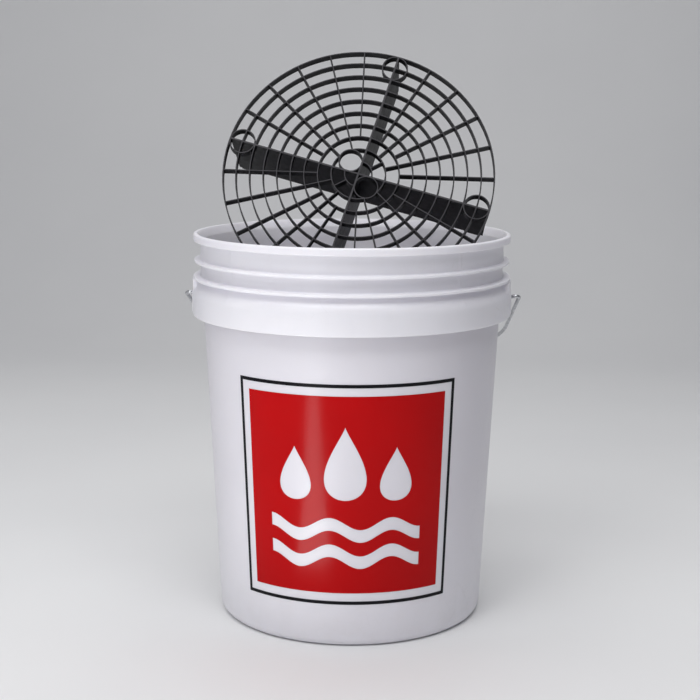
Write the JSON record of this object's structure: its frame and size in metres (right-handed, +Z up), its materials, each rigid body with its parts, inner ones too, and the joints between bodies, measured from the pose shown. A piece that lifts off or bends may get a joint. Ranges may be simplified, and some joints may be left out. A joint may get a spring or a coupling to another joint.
{
  "type": "wash bucket",
  "caption": "Round tapered plastic pail with a rolled lip, ringed neck and hollow collar, a wire bail with sleeve grip, and a round grid insert tilted in its mouth.",
  "frame": {"origin": "centre of the flat underside of the pail's base, on the floor", "axes": "+Z up; the front print faces -Y; the bail ears are on +X and -X; the bail hangs at the back, +Y"},
  "size_m": [0.3242, 0.3167, 0.5378],
  "materials": {
    "pail_plastic": "satin moulded polyethylene",
    "zinc_wire": "zinc plated drawn wire",
    "grip_plastic": "satin moulded polyethylene",
    "guard_plastic": "satin moulded polypropylene",
    "black_ink": "screen-printed ink",
    "red_ink": "screen-printed ink",
    "scale_ink": "screen-printed ink"
  },
  "bodies": {
    "pail": {"pail_body": "pail_plastic", "front_print_keyline": "black_ink", "front_print_panel": "red_ink", "side_print_fill_scale": "scale_ink"},
    "bail": {"bail_wire": "zinc_wire"},
    "grip": {"bail_grip": "grip_plastic"},
    "guard": {"grit_guard": "guard_plastic"}
  },
  "joints": [
    {"name": "bail_swing", "type": "hinge", "parent": "pail", "child": "bail", "pos_m": [0, 0, 0.3075], "axis": [1, 0, 0], "range_deg": [0, 80]},
    {"name": "grip_spin", "type": "hinge", "parent": "bail", "child": "grip", "pos_m": [0, 0.15218, 0.22314], "axis": [1, 0, 0], "continuous": true},
    {"name": "guard_lift", "type": "slide", "parent": "pail", "child": "guard", "axis": [0, 0, 1], "range_m": [-0.185, 0.12]}
  ]
}
